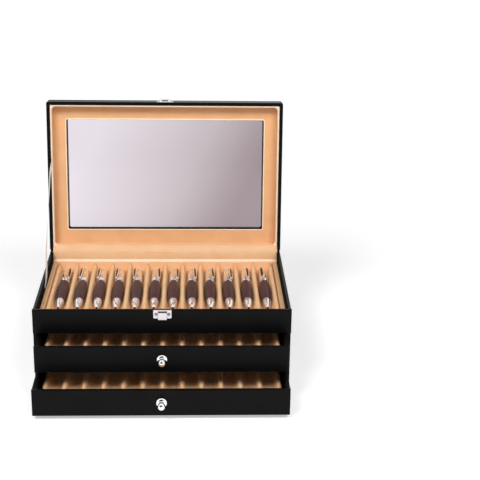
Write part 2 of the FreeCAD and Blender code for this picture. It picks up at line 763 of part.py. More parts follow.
def make_hinge():
    """The wrapped strip outside the joint, and the lining that bridges it inside."""
    leg_low = "hinge_height - strip_leg"
    prism("hinge_leather_strip", CASE, ("-half_width + strip_inset", "half_width - strip_inset"),
          [("rear_face", leg_low), ("rear_face + strip_thick", leg_low),
           opened("strip_thick", "strip_thick * tan(open_angle / 2)"),
           opened("strip_thick", "strip_leg"), opened(0, "strip_leg"),
           ("rear_face", "hinge_height")])
    face, outer = "-lid_wall - lid_liner", "-lid_wall - lid_liner - strip_thick"
    prism("hinge_liner", CASE, ("-hinge_half", "hinge_half"),
          [("room_rear", "liner_top - hinge_lap"), ("room_rear", "rim"),
           opened(face, "lid_liner_low"), opened(face, "mat_under"), opened(outer, "mat_under"),
           opened(outer, "lid_liner_low"), ("room_rear - strip_thick", "rim + strip_thick / 2"),
           ("room_rear - strip_thick", "liner_top - hinge_lap")])


def make_ribbon():
    """A flat ribbon, drawn tight between the case's side and the lid's rim."""
    low = ("front_face + ribbon_place", "rim - ribbon_drop")
    high = opened("-ribbon_reach", "lid_liner_low - ribbon_gap")
    width_on_lid = opened("-ribbon_reach - ribbon_width", "lid_liner_low - ribbon_gap")
    prism("stay_ribbon", CASE, ("-room_side", "-room_side + ribbon_thick"),
          [low, ("(%s) + ribbon_width" % low[0], low[1]), high, width_on_lid])


# ---- clasp ----------------------------------------------------------------------------------

def clasp_pin_spots():
    return tuple((side + "clasp_pin_spread", "rim - clasp_pin_drop") for side in ("-", ""))


def catch_pin_spots():
    return tuple((side + "catch_pin_spread", "catch_low + catch_pin_rise") for side in ("-", ""))


def make_screws(node, frame, face, spots):
    """Two small flat-topped wood screws that hold a plate at y = face."""
    stepped_pins(node, frame, spots, ((face + " + pin_length", "pin_width", "pin_length"),
                                      (face, "pin_head_width", "pin_head_thick")))


def make_clasp():
    base = new_body("clasp_plate", CASE)
    plate(base, "front_face", ("-clasp_width / 2", "clasp_width / 2"), ("clasp_low", "rim"),
          "clasp_thick")
    round_edges(base, "clasp_corner", {"x": "-clasp_width / 2", "z": "clasp_low"},
                {"x": "clasp_width / 2", "z": "clasp_low"})
    guides = new_sketch(base, "XZ_Plane", lift="-(plate_face)")
    guide_z = ("guide_low", "guide_low + guide_height")
    rectangle(guides, ("-guide_half", "-guide_half + guide_width"), guide_z)
    rectangle(guides, ("guide_half - guide_width", "guide_half"), guide_z)
    pad(base, guides, "plate_face - guide_face")
    bore(base, "plate_face", clasp_pin_spots(), "pin_width", "clasp_thick")
    make_screws("clasp_screws", CASE, "plate_face", clasp_pin_spots())

    spring = new_body("clasp_spring", CASE)
    bow = new_sketch(spring, "XY_Plane", y="plate_face", lift="guide_low")
    toe = "(spring_span / 2 - spring_thick)"
    outline(bow, [("-spring_span / 2", 0), (0, "-spring_rise", "spring_radius", -1),
                  ("spring_span / 2", 0, "spring_radius", -1), (toe, 0),
                  (0, "spring_thick - spring_rise", "spring_inner_radius", 1),
                  ("-" + toe, 0, "spring_inner_radius", 1)])
    pad(spring, bow, "spring_width")

    button = new_body("clasp_button", CASE)
    plate(button, "button_back", ("-button_width / 2", "button_width / 2"),
          ("button_low", "button_top"), "button_back - button_face")
    round_edges(button, "button_round", {"x": "-button_width / 2", "y": "button_face"},
                {"x": "button_width / 2", "y": "button_face"}, {"y": "button_face", "z": "button_low"},
                {"y": "button_face", "z": "button_top"})
    hollow = new_sketch(button, "XZ_Plane", lift="-(skin_back)")
    rectangle(hollow, ("-button_width / 2 + button_skin", "button_width / 2 - button_skin"),
              ("button_low + button_skin", "button_top + button_skin"))
    pocket(button, hollow, "button_back - skin_back")


def make_catch():
    """The lid's catch: a plate, a hood, and the tongue that drops behind the button."""
    catch = new_body("lid_catch", LID)
    plate(catch, "lid_front", ("-catch_width / 2", "catch_width / 2"),
          ("catch_low", "catch_low + catch_height"), "catch_thick")
    round_edges(catch, "clasp_corner", {"x": "-catch_width / 2", "z": "catch_low + catch_height"},
                {"x": "catch_width / 2", "z": "catch_low + catch_height"})
    hood_x = ("-hood_width / 2", "hood_width / 2")
    hood_z = ("catch_low", "catch_low + hood_height")
    plate(catch, "catch_face", hood_x, hood_z, "hood_reach - catch_thick")
    hood_face = "lid_front - hood_reach"
    round_edges(catch, "hood_round", {"x": hood_x[0], "y": hood_face}, {"x": hood_x[1], "y": hood_face},
                {"y": hood_face, "z": hood_z[1]})
    plate(catch, "tongue_back", ("-tongue_width / 2", "tongue_width / 2"),
          ("lid_low - tongue_length", "catch_low + hood_round"), "tongue_thick")
    bore(catch, "catch_face", catch_pin_spots(), "pin_width", "catch_thick")
    make_screws("lid_catch_screws", LID, "catch_face", catch_pin_spots())


# ---- the whole chest ------------------------------------------------------------------------

def check_model():
    for thing in doc.Objects:
        if "Invalid" in thing.State or "Error" in thing.State:
            raise RuntimeError("failed: " + thing.Label)
    for body in sub_parts:
        if body.Shape.isNull() or not body.Shape.isValid():
            raise RuntimeError("bad shape: " + body.Label)


def write_parts():
    os.makedirs("parts", exist_ok=True)
    for body in sub_parts:
        body.Shape.exportStep(os.path.join("parts", body.Label + ".step"))
        print(body.Label, len(body.Shape.Solids), "solid(s)")


fill_sheets()
make_carcass()
make_lining()
make_top_tray()
make_pens()
make_drawer(MIDDLE)
make_drawer(BOTTOM)
make_lid()
make_hinge()
make_ribbon()
make_clasp()
make_catch()
doc.recompute()
check_model()
write_parts()
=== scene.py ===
import json
import math

import bpy
from mathutils import Matrix, Vector, noise


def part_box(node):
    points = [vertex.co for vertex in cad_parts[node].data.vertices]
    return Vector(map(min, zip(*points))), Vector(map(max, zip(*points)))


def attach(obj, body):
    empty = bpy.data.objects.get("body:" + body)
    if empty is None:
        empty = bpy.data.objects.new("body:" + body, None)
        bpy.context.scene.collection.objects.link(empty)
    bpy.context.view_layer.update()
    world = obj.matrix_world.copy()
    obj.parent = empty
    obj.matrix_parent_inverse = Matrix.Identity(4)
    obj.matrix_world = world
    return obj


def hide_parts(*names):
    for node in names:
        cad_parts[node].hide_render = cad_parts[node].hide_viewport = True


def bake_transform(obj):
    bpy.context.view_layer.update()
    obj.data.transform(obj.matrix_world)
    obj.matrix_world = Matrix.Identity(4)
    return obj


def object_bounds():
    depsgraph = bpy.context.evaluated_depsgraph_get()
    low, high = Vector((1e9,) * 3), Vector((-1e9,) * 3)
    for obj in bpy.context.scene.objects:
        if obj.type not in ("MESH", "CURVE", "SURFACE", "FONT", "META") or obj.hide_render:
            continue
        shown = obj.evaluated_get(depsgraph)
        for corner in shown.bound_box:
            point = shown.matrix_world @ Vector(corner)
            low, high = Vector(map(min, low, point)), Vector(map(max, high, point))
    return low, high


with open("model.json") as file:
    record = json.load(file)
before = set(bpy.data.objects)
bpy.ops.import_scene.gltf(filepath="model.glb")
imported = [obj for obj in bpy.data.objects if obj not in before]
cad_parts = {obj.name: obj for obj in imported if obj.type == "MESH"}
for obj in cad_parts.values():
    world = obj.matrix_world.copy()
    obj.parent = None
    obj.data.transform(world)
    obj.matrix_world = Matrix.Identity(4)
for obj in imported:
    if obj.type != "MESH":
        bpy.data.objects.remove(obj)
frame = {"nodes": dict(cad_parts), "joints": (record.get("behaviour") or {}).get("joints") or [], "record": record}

# The pen collector chest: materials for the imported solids, the soft and fine pieces that stand for
# some of them, and the studio. Everything is in metres; profiles are written in mm.

cad_low, cad_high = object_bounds()

MM = 0.001
nodes = frame["nodes"]

# ---- the lid's place and sizes ----

lid_hinge = next(joint for joint in frame["joints"] if joint["name"] == "lid_hinge")
HINGE = Vector(lid_hinge["pos_m"])
LID_OPEN = math.radians(-lid_hinge["range_deg"][0])
# the lid's own frame: -Y from the hinge to the lid's front, Z up when it is shut
LID = Matrix.Translation(HINGE) @ Matrix.Rotation(-LID_OPEN, 4, "X")

# sizes in the lid's own frame
LID_HALF = 150 * MM
LID_DEPTH = 194 * MM
LID_WALL = 4 * MM
LID_TOP = 20.25 * MM
LINER = 2.5 * MM
MAT_FACE = 15.25 * MM
WINDOW_HALF = 125 * MM
WINDOW_FRONT = -169.5 * MM
WINDOW_REAR = -27 * MM


def lid_point(y, z):
    """A spot of the lid's own frame, in the middle of its width."""
    return LID @ Vector((0, y, z))


# ---- looks ----

# the noise values between which a mottled colour goes over from its first shade to its second
MOTTLE_FROM, MOTTLE_TO = 0.3, 0.7
LEATHER_DRIFT = 40
FABRIC_DRIFT = 55


def add_node(owner, kind, **values):
    """A shader node of a material or world; each value sets an input, or else a property."""
    node = owner.node_tree.nodes.new("ShaderNode" + kind)
    for name, value in values.items():
        socket = name.replace("_", " ")
        if socket in node.inputs:
            node.inputs[socket].default_value = value
        else:
            setattr(node, name, value)
    return node


def join(owner, source, output, target, socket):
    owner.node_tree.links.new(source.outputs[output], target.inputs[socket])


def shader_of(material):
    return material.node_tree.nodes["Principled BSDF"]


def look(name, colour, rough, **values):
    """A Principled material; a socket's spaces are written as underscores."""
    material = bpy.data.materials.new(name)
    material.use_nodes = True
    shader = shader_of(material)
    shader.inputs["Base Color"].default_value = (*colour, 1)
    shader.inputs["Roughness"].default_value = rough
    for socket, value in values.items():
        shader.inputs[socket.replace("_", " ")].default_value = value
    return material


def mottle(material, first, second, scale):
    """Colour that drifts between two shades over the surface."""
    coords = add_node(material, "TexCoord")
    cloud = add_node(material, "TexNoise", Scale=scale, Detail=3)
    ramp = add_node(material, "ValToRGB")
    stops = ramp.color_ramp.elements
    stops[0].position, stops[1].position = MOTTLE_FROM, MOTTLE_TO
    stops[0].color, stops[1].color = (*first, 1), (*second, 1)
    join(material, coords, "Object", cloud, "Vector")
    join(material, cloud, "Fac", ramp, "Fac")
    join(material, ramp, "Color", shader_of(material), "Base Color")


def relief(material, texture, output, depth):
    """Bump of the given depth in metres from a texture's output."""
    coords = add_node(material, "TexCoord")
    bump = add_node(material, "Bump", Strength=1.0, Distance=depth)
    join(material, coords, "Object", texture, "Vector")
    join(material, texture, output, bump, "Height")
    join(material, bump, "Normal", shader_of(material), "Normal")


def grained(name, colour, lighter, rough, scale, depth, **values):
    """Leatherette or board: pebbles from a Voronoi texture, with a slow drift of colour."""
    material = look(name, colour, rough, **values)
    mottle(material, colour, lighter, LEATHER_DRIFT)
    pebbles = add_node(material, "TexVoronoi", Scale=scale, feature="SMOOTH_F1")
    relief(material, pebbles, "Distance", depth)
    return material


def soft(name, colour, darker, rough, scale, depth, **values):
    """Flock or lining fabric: a fine nap and a slow drift of colour."""
    material = look(name, colour, rough, **values)
    mottle(material, darker, colour, FABRIC_DRIFT)
    nap = add_node(material, "TexNoise", Scale=scale, Detail=2)
    relief(material, nap, "Fac", depth)
    return material


def metal(name, colour, rough, rougher, scale=260, depth=0.0004 * MM):
    """Plated or turned metal: very slightly wavy, its polish drifting between two roughnesses."""
    material = look(name, colour, rough, Metallic=1.0)
    swirl = add_node(material, "TexNoise", Scale=scale, Detail=2)
    relief(material, swirl, "Fac", depth)
    polish = add_node(material, "MapRange", To_Min=rough, To_Max=rougher)
    join(material, swirl, "Fac", polish, "Value")
    join(material, polish, "Result", shader_of(material), "Roughness")
    return material


# the pane's painted shade over its greyish glass, standing in for the studio it would reflect: (share of the ramp,
# colour)
PAINTED_PANE_SHADE = ((0.07, (0.79, 0.725, 0.785)), (0.43, (0.64, 0.58, 0.617)), (0.65, (0.54, 0.482, 0.51)),
        (0.88, (0.38, 0.311, 0.33)), (0.98, (0.325, 0.261, 0.279)))
# how the ramp lies over the pane, which is 0.25 m wide
PAINTED_SHADE_START = 0.935
PAINTED_SHADE_SCALE = 4.43
PAINTED_SHADE_SLANT = math.radians(-27)


def pane_with_painted_shade():
    """A clear greyish pane, with painted shade in place of a reflection: darker to the right and a little
    downwards.
    """
    pane = look("window_glass_painted_shade_look", (0.8, 0.78, 0.81), 0.02, Transmission_Weight=1.0, IOR=1.45)
    coords = add_node(pane, "TexCoord")
    across = add_node(pane, "Mapping", Location=(PAINTED_SHADE_START, 0, 0), Rotation=(0, PAINTED_SHADE_SLANT, 0),
                      Scale=(PAINTED_SHADE_SCALE, 0, PAINTED_SHADE_SCALE))
    slope = add_node(pane, "TexGradient")
    # the ramp of painted shade across the pane
    pane_shade_ramp = add_node(pane, "ValToRGB")
    stops = pane_shade_ramp.color_ramp.elements
    for position, colour in PAINTED_PANE_SHADE:
        stops.new(position).color = (*colour, 1)
    # the two stops that a new ramp comes with
    stops.remove(stops[0])
    stops.remove(stops[-1])
    join(pane, coords, "Object", across, "Vector")
    join(pane, across, "Vector", slope, "Vector")
    join(pane, slope, "Fac", pane_shade_ramp, "Fac")
    join(pane, pane_shade_ramp, "Color", shader_of(pane), "Base Color")
    return pane


leather = grained("black_leatherette_look", (0.0022, 0.0021, 0.0023), (0.0034, 0.0033, 0.0037),
                  rough=0.34, scale=1100, depth=0.06 * MM,
                  Specular_IOR_Level=0.084, Sheen_Weight=0.05, Sheen_Roughness=0.3)
board = grained("black_board_look", (0.0024, 0.0023, 0.0025), (0.0036, 0.0035, 0.0038),
                rough=0.55, scale=1600, depth=0.03 * MM, Specular_IOR_Level=0.05)
suede = soft("black_suede_look", (0.006, 0.0045, 0.004), (0.004, 0.003, 0.003),
             rough=0.9, scale=2600, depth=0.06 * MM, Specular_IOR_Level=0.05)
lining = soft("cream_lining_look", (0.79, 0.45, 0.228), (0.745, 0.405, 0.197),
              rough=0.6, scale=1500, depth=0.05 * MM, Specular_IOR_Level=0.2, Sheen_Weight=0.1)
# paler than the lining: a painted highlight over the whole hinge strip
satin_painted_highlight = soft("cream_satin_painted_highlight_look", (0.86, 0.545, 0.315), (0.82, 0.49, 0.27),
             rough=0.5, scale=1500, depth=0.05 * MM, Specular_IOR_Level=0.3, Sheen_Weight=0.15)
# lighter than the lining: a painted highlight on the rolled edges, which face the light
rolled_edge_painted_highlight = soft("cream_rolled_edge_highlight_look", (0.98, 0.78, 0.58), (0.95, 0.73, 0.53),
                   rough=0.5, scale=1500, depth=0.04 * MM,
                   Specular_IOR_Level=0.3, Sheen_Weight=0.1)
flock = soft("cream_flock_look", (0.92, 0.585, 0.325), (0.87, 0.51, 0.262),
             rough=0.85, scale=2600, depth=0.12 * MM, Specular_IOR_Level=0.1, Sheen_Weight=0.08)
thread = soft("thread_look", (0.016, 0.016, 0.018), (0.008, 0.008, 0.009),
              rough=0.7, scale=4000, depth=0.05 * MM, Specular_IOR_Level=0.15)
chrome = metal("polished_chrome_look", (0.88, 0.87, 0.88), rough=0.05, rougher=0.11)
nickel = metal("satin_nickel_look", (0.64, 0.61, 0.63), rough=0.20, rougher=0.30)
screw_steel = metal("screw_steel_look", (0.52, 0.51, 0.52), rough=0.22, rougher=0.34)
spring_steel = metal("spring_steel_look", (0.50, 0.50, 0.52), rough=0.30, rougher=0.42,
                     scale=2400, depth=0.01 * MM)
glass = pane_with_painted_shade()

ribbon_satin = look("ribbon_satin_look", (0.95, 0.91, 0.85), 0.5, Sheen_Weight=0.2)
mottle(ribbon_satin, (0.92, 0.87, 0.80), (0.97, 0.94, 0.90), 60)
ribs = add_node(ribbon_satin, "TexWave", Scale=900, bands_direction="Z")
relief(ribbon_satin, ribs, "Fac", 0.03 * MM)

lacquer = look("pen_lacquer_look", (0.070, 0.029, 0.030), 0.42, Specular_IOR_Level=0.16)
mottle(lacquer, (0.060, 0.025, 0.026), (0.080, 0.034, 0.035), 220)
relief(lacquer, add_node(lacquer, "TexNoise", Scale=1800), "Fac", 0.004 * MM)

black_resin = look("black_resin_look", (0.004, 0.004, 0.0045), 0.35, Specular_IOR_Level=0.15)
relief(black_resin, add_node(black_resin, "TexNoise", Scale=1500), "Fac", 0.005 * MM)

# ---- carcass, drawers and lid: the CAD nodes in their covering ----

LOOK_OF_SLOT = {
    "black_leatherette": leather, "black_paper_board": board, "black_suede": suede,
    "cream_lining": lining, "cream_flock": flock, "ribbon_satin": ribbon_satin,
    "window_glass": glass, "polished_chrome": chrome, "screw_steel": screw_steel,
    "spring_steel": spring_steel, "pen_barrel_lacquer": lacquer,
}

# (nodes, material, width of their softened edges in mm, steps of the softening)
SOFTENED = (
    (("case_side_left", "case_side_right", "case_back", "case_base", "top_front_panel",
      "middle_drawer_front", "bottom_drawer_front", "lid_frame"), leather, 0.5, 3),
    (("lid_wall_front", "lid_wall_rear", "lid_wall_left", "lid_wall_right"), leather, 1.2, 4),
    (("top_shelf", "drawer_shelf", "middle_drawer_side_left", "middle_drawer_side_right",
      "middle_drawer_back", "middle_drawer_bottom", "bottom_drawer_side_left",
      "bottom_drawer_side_right", "bottom_drawer_back", "bottom_drawer_bottom"), board, 0.4, 2),
    (("compartment_liner_left", "compartment_liner_right", "compartment_liner_front"),
     suede, 0.2, 2),
    (("top_tray_base", "middle_tray_base", "bottom_tray_base"), flock, 0.3, 2),
    (("top_tray_border",), flock, 0.5, 3),
    (("case_rear_liner",), lining, 0.4, 2),
    (("lid_mat",), lining, 0.2, 2),
    (("clasp_plate", "clasp_button"), nickel, 0.18, 3),
    (("lid_catch",), chrome, 0.18, 3),
    (("middle_knob_screw", "bottom_knob_screw"), screw_steel, 0.25, 3),
)
SHARP_FROM = math.radians(35)
SOFTENED_FROM = math.radians(50)


def dress(node, material):
    mesh = nodes[node].data
    mesh.materials.clear()
    mesh.materials.append(material)


def soften(node, edge, steps):
    """Rounded edges on a CAD node, edge being their width in metres."""
    nodes[node].data.set_sharp_from_angle(angle=SHARP_FROM)
    bevel = nodes[node].modifiers.new("soft_edges", "BEVEL")
    bevel.width = edge
    bevel.segments = steps
    bevel.limit_method = "ANGLE"
    bevel.angle_limit = SOFTENED_FROM
    bevel.harden_normals = True


for subpart in frame["record"]["subparts"]:
    dress(subpart["node"], LOOK_OF_SLOT[subpart["material_slot"]])
for names, material, edge, steps in SOFTENED:
    for node in names:
        dress(node, material)
        soften(node, edge * MM, steps)

# ---- making meshes ----


def piece(name, mesh_parts, material, body, place=Matrix(), smooth=40):
    """One object from several (points, faces) parts; it rides on a body, unless body is None."""
    points, faces = [], []
    for part_points, part_faces in mesh_parts:
        faces += [[n + len(points) for n in face] for face in part_faces]
        points += [place @ Vector(point) for point in part_points]
    mesh = bpy.data.meshes.new(name)
    mesh.from_pydata(points, [], faces)
    mesh.validate()
    obj = bpy.data.objects.new(name, mesh)
    bpy.context.scene.collection.objects.link(obj)
    mesh.materials.append(material)
    mesh.shade_smooth()
    mesh.set_sharp_from_angle(angle=math.radians(smooth))
    if body:
        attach(obj, body)
    return obj


def grid(rows, columns, ring=False, loop=False):
    """Faces over rows of points; ring joins the last column to the first, loop the last row."""
    faces = []
    for r in range(rows if loop else rows - 1):
        for c in range(columns if ring else columns - 1):
            low, high = r * columns, (r + 1) % rows * columns
            faces.append((low + c, low + (c + 1) % columns, high + (c + 1) % columns, high + c))
    return faces


def tube(rows, columns):
    """Faces that join rings of points and close both ends."""
    first = tuple(range(columns - 1, -1, -1))
    last = tuple((rows - 1) * columns + n for n in range(columns))
    return grid(rows, columns, ring=True) + [first, last]


def flipped(faces):
    """The same faces, looking the other way."""
    return [tuple(reversed(face)) for face in faces]


def lathe(profile, x, z, turns=28):
    """A turned form about an axis along Y; the profile is (y, radius) pairs, front to rear."""
    points = []
    for y, radius in profile:
        for n in range(turns):
            angle = 2 * math.pi * n / turns
            points.append((x + radius * math.sin(angle), y, z + radius * math.cos(angle)))
    return points, tube(len(profile), turns)


def ball(centre, radius, turns=14, rows=8):
    profile = []
    for n in range(rows + 1):
        angle = math.pi * n / rows
        profile.append((centre.y - radius * math.cos(angle), radius * math.sin(angle) + 1e-6))
    return lathe(profile, centre.x, centre.z, turns)


def block(low, high, chamfer):
    """A box with its edges along Z and its top and bottom edges taken off."""
    (x0, y0, z0), (x1, y1, z1) = low, high
    points = []
    for z, inset in ((z0, chamfer), (z0 + chamfer, 0), (z1 - chamfer, 0), (z1, chamfer)):
        left, right, near, far = x0 + inset, x1 - inset, y0 + inset, y1 - inset
        points += [(left + chamfer, near, z), (right - chamfer, near, z),
                   (right, near + chamfer, z), (right, far - chamfer, z),
                   (right - chamfer, far, z), (left + chamfer, far, z),
                   (left, far - chamfer, z), (left, near + chamfer, z)]
    return points, tube(4, 8)


def smoothstep(t):
    t = min(max(t, 0.0), 1.0)
    return t * t * (3 - 2 * t)


# ---- flocked trays ----

GROOVES = 12
END_RIDGE = 3.4 * MM
# radius of a ridge's crest, and how far a groove's circle dips below the skin's flat floor
CREST = 2.75 * MM
SINK = 0.45 * MM
FLOCK_LIFT = 0.06 * MM
# how far the skin's second column is from each end
END_COLUMN = 1.2 * MM
# the ridges of the top tray narrow over this length to this share at their rear
POINTED_RUN = 16 * MM
POINT_SHARE = 0.22
PER_GROOVE = 30
EVEN_ROWS = 12
POINT_ROWS = 10


def flocked_tray(name, ridges_node, body, pointed_rear):
    """The grooves' flocked skin: concave flanks up to rounded crests, one sheet over the ridges."""
    low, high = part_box(ridges_node)
    half_pitch = (2 * high.x - 2 * END_RIDGE) / GROOVES / 2
    pitch = 2 * half_pitch
    radius = half_pitch - CREST
    flank = radius - SINK

    def height(x, taper):
        share = (x / pitch) % 1.0
        from_ridge = min(share, 1 - share) * pitch / taper
        if from_ridge < CREST:
            return flank + math.sqrt(CREST ** 2 - from_ridge ** 2)
        inner = max(half_pitch - from_ridge, 0)
        return max(flank - math.sqrt(max(radius ** 2 - inner ** 2, 0)), 0)

    across = [pitch * (n / PER_GROOVE - GROOVES / 2) for n in range(GROOVES * PER_GROOVE + 1)]
    across = [low.x, low.x + END_COLUMN] + across + [high.x - END_COLUMN, high.x]
    depth = high.y - low.y
    along = [low.y + depth * n / EVEN_ROWS for n in range(EVEN_ROWS)]
    along += [high.y - POINTED_RUN * (1 - n / POINT_ROWS) for n in range(2, POINT_ROWS + 1)]
    # (y, whether the row is the foot of an end)
    rows = [(low.y, True)] + [(round(y, 6), False) for y in along] + [(high.y, True)]
    points = []
    for y, foot in rows:
        room = (high.y - y) / POINTED_RUN if pointed_rear else 1
        taper = POINT_SHARE + (1 - POINT_SHARE) * smoothstep(room)
        for x in across:
            rise = 0 if foot else height(x, taper)
            points.append((x, y, low.z + FLOCK_LIFT + rise))
    skin = piece(name, [(points, grid(len(rows), len(across)))], flock, body,
                 smooth=60)
    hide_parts(ridges_node)


flocked_tray("top_tray_flock", "top_tray_dividers", "case", True)
flocked_tray("middle_tray_flock", "middle_tray_dividers", "middle_drawer", False)
flocked_tray("bottom_tray_flock", "bottom_tray_dividers", "bottom_drawer", False)

# ---- pens ----

barrels_low, barrels_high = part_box("pen_barrels")
BELLY = (barrels_high.z - barrels_low.z) / 2
# the pens lie on the flock, a little higher than the CAD barrels
PEN_Z = (barrels_high.z + barrels_low.z) / 2 + 0.3 * MM
PEN_SPREAD = barrels_high.x - BELLY
CAP_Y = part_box("pen_caps")[0].y
TIP_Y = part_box("pen_tips")[0].y
# the way each clip is turned about its pen, in degrees to the right
CLIP_TURNS = (38, -32, -36, -34, -36, 36, 40, 36, 34, 38, 22, -14)
PENS = len(CLIP_TURNS)

# profiles of (how far to the rear of the cap's front, radius)
BARREL = [(-54.4, 4.9), (-54.1, 5.35), (-50.5, 5.85), (-44, 6.35), (-36, 6.7), (-27, 6.8),
          (-17, 6.65), (-8, 6.25), (-1.4, 5.8), (-0.3, 5.5)]
CAP = [(-0.4, 5.3), (-0.2, 5.75), (0.3, 5.8), (1.5, 5.8), (1.8, 5.5), (2.3, 5.45), (2.7, 5.68),
       (10, 5.8), (20, 5.78), (29, 5.6), (37, 5.2), (43.5, 4.6), (48.5, 3.9), (52.3, 3.05),
       (55, 2.1), (56.5, 1.1), (56.95, 0.3)]
# the chrome nose and the black tip in it, from the tip's own front
NOSE = [(4.4, 1.3), (4.6, 1.7), (6.5, 2.4), (11, 3.55), (15.5, 4.45), (19.5, 5.0), (22.5, 5.2),
        (25, 5.15), (26.8, 4.9), (27.5, 4.6)]
BLACK_TIP = [(0, 0.5), (0.3, 0.8), (2.2, 1.2), (4.8, 1.6)]
# the clip: (y past the cap's front, half width, height of its underside over the axis, thickness)
CLIP = [(3.6, 0.9, 6.2, 1.0), (6, 1.5, 6.45, 1.1), (9.5, 2.1, 6.5, 1.15), (15, 2.55, 6.5, 1.15),
        (22, 2.8, 6.45, 1.15), (29, 2.8, 6.25, 1.15), (35, 2.55, 5.9, 1.15), (40, 2.1, 5.4, 1.15),
        (44, 1.3, 4.85, 1.0), (46, 0.5, 4.5, 0.7)]
CLIP_ROUNDING = 0.35
# the ball at the clip's front end: y past the cap's front, height over the axis, radius
BALL_Y, BALL_UP, BALL_RADIUS = 5.4 * MM, 7.0 * MM, 1.75 * MM
# the black inlay: the clip's frame round it, and how far its underside and its top are over the
# clip's own
INLAY_FRAME, INLAY_UNDER, INLAY_TOP = 1.05, 0.3, 0.12


def along_pen(profile, start):
    return [(start + y * MM, radius * MM) for y, radius in profile]


def clip_form(spin, inlay):
    """The clip's bowed strip, or the black inlay in its slot, turned about the pen by spin."""
    stations = CLIP[2:-2] if inlay else CLIP
    points = []
    for y, half, under, thick in stations:
        if inlay:
            half -= INLAY_FRAME
            under += INLAY_UNDER
            thick += INLAY_TOP - INLAY_UNDER
        edge = min(half, thick) * CLIP_ROUNDING
        top = under + thick
        for across, up in ((-half, under), (-half, top - edge), (-half + edge, top),
                           (half - edge, top), (half, top - edge), (half, under)):
            points.append(spin @ Vector((across * MM, CAP_Y + y * MM, up * MM)))
    return points, tube(len(stations), 6)


barrel_parts, cap_parts, nose_parts, tip_parts, clip_parts, inlay_parts = ([] for _ in range(6))
for pen, turn in enumerate(CLIP_TURNS):
    pen_x = PEN_SPREAD * (2 * pen / (PENS - 1) - 1)
    spin = Matrix.Translation((pen_x, 0, PEN_Z)) @ Matrix.Rotation(math.radians(turn), 4, "Y")
    barrel_parts.append(lathe(along_pen(BARREL, CAP_Y), pen_x, PEN_Z, 32))
    cap_parts.append(lathe(along_pen(CAP, CAP_Y), pen_x, PEN_Z, 32))
    nose_parts.append(lathe(along_pen(NOSE, TIP_Y), pen_x, PEN_Z, 32))
    tip_parts.append(lathe(along_pen(BLACK_TIP, TIP_Y), pen_x, PEN_Z, 20))
    clip_parts.append(clip_form(spin, False))
    clip_parts.append(ball(spin @ Vector((0, CAP_Y + BALL_Y, BALL_UP)), BALL_RADIUS))
    inlay_parts.append(clip_form(spin, True))

pen_barrels = piece("pens_lacquer", barrel_parts, lacquer, "case")
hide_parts("pen_barrels")
pen_caps = piece("pens_caps", cap_parts, chrome, "case")
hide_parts("pen_caps")
pen_noses = piece("pens_noses", nose_parts, chrome, "case")
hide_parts("pen_tips")
piece("pens_black_tips", tip_parts, black_resin, "case")
pen_clips = piece("pens_clips", clip_parts, chrome, "case")
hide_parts("pen_clips")
piece("pens_clip_inlays", inlay_parts, black_resin, "case")

# ---- knobs ----

# (how far past the drawer's face, radius)
KNOB = [(0, 5.7), (0.25, 6.0), (0.75, 6.0), (1.05, 5.75), (1.15, 5.2), (1.35, 4.6), (1.75, 3.8),
        (2.3, 3.15), (3.0, 2.7), (3.8, 2.5), (4.6, 2.5), (5.0, 2.8), (5.5, 3.3), (6.4, 3.95),
        (7.5, 4.37), (8.5, 4.5), (9.5, 4.37), (10.6, 3.95), (11.6, 3.25), (12.3, 2.4),
        (12.75, 1.5), (12.95, 0.7), (13.0, 0.05)]

for level in ("middle", "bottom"):
    knob_low, knob_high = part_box(level + "_knob")
    knob_z = (knob_low.z + knob_high.z) / 2
    turned = [(knob_high.y - reach * MM, radius * MM) for reach, radius in reversed(KNOB)]
    knob = piece(level + "_knob_turned", [lathe(turned, 0, knob_z, 48)], chrome,
                 level + "_drawer", smooth=35)
    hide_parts(level + "_knob")

# ---- screw heads of clasp and catch ----

# (how far past the plate, radius)
HEAD = [(0, 1.5), (0.25, 1.5), (0.5, 1.38), (0.72, 1.1), (0.86, 0.7), (0.9, 0.3), (0.9, 0.02)]
# the dark bar that shows as the slot is painted shade: half its length and width, its chamfer, and how
# far past the plate its root and its face are
BAR_LONG, BAR_WIDE, BAR_CHAMFER = 1.2 * MM, 0.3 * MM, 0.04 * MM
BAR_ROOT, BAR_FACE = 0.5 * MM, 0.97 * MM
# the dark ring round the head is painted shade of the gap: its radius, and how far into the plate and out of it
GAP_RADIUS, GAP_IN, GAP_OUT = 1.85 * MM, 0.05 * MM, 0.04 * MM
# the screws: (distance to each side, how far the plate stands out, height)
CLASP_SCREWS = (7.3 * MM, 1 * MM, 101 * MM)
CATCH_SCREWS = (8.5 * MM, 0.9 * MM, 4.45 * MM)
CASE_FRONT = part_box("top_front_panel")[0].y


def slotted_heads(name, node, spot, face, turns, body, place=Matrix()):
    """Domed screw heads on both sides, each with a dark bar across it and a dark ring round it, painted shade of
    its slot and of the gap round it.
    """
    to_side, plate, z = spot
    y = face - plate
    dome = [(y - rise * MM, radius * MM) for rise, radius in reversed(HEAD)]
    gap = [(y - GAP_OUT, GAP_RADIUS), (y + GAP_IN, GAP_RADIUS)]
    bar, bar_faces = block((-BAR_LONG, -BAR_FACE, -BAR_WIDE), (BAR_LONG, -BAR_ROOT, BAR_WIDE),
                           BAR_CHAMFER)
    domes, shade_marks = [], []
    for x, turn in zip((-to_side, to_side), turns):
        domes.append(lathe(dome, x, z, 20))
        shade_marks.append(lathe(gap, x, z, 20))
        lay = Matrix.Translation((x, y, z)) @ Matrix.Rotation(math.radians(turn), 4, "Y")
        shade_marks.append(([lay @ Vector(point) for point in bar], bar_faces))
    heads = piece(name, domes, screw_steel, body, place)
    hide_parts(node)
    # the bars and rings of painted shade, in black resin
    piece(name + "_painted_shade", shade_marks, black_resin, body, place)


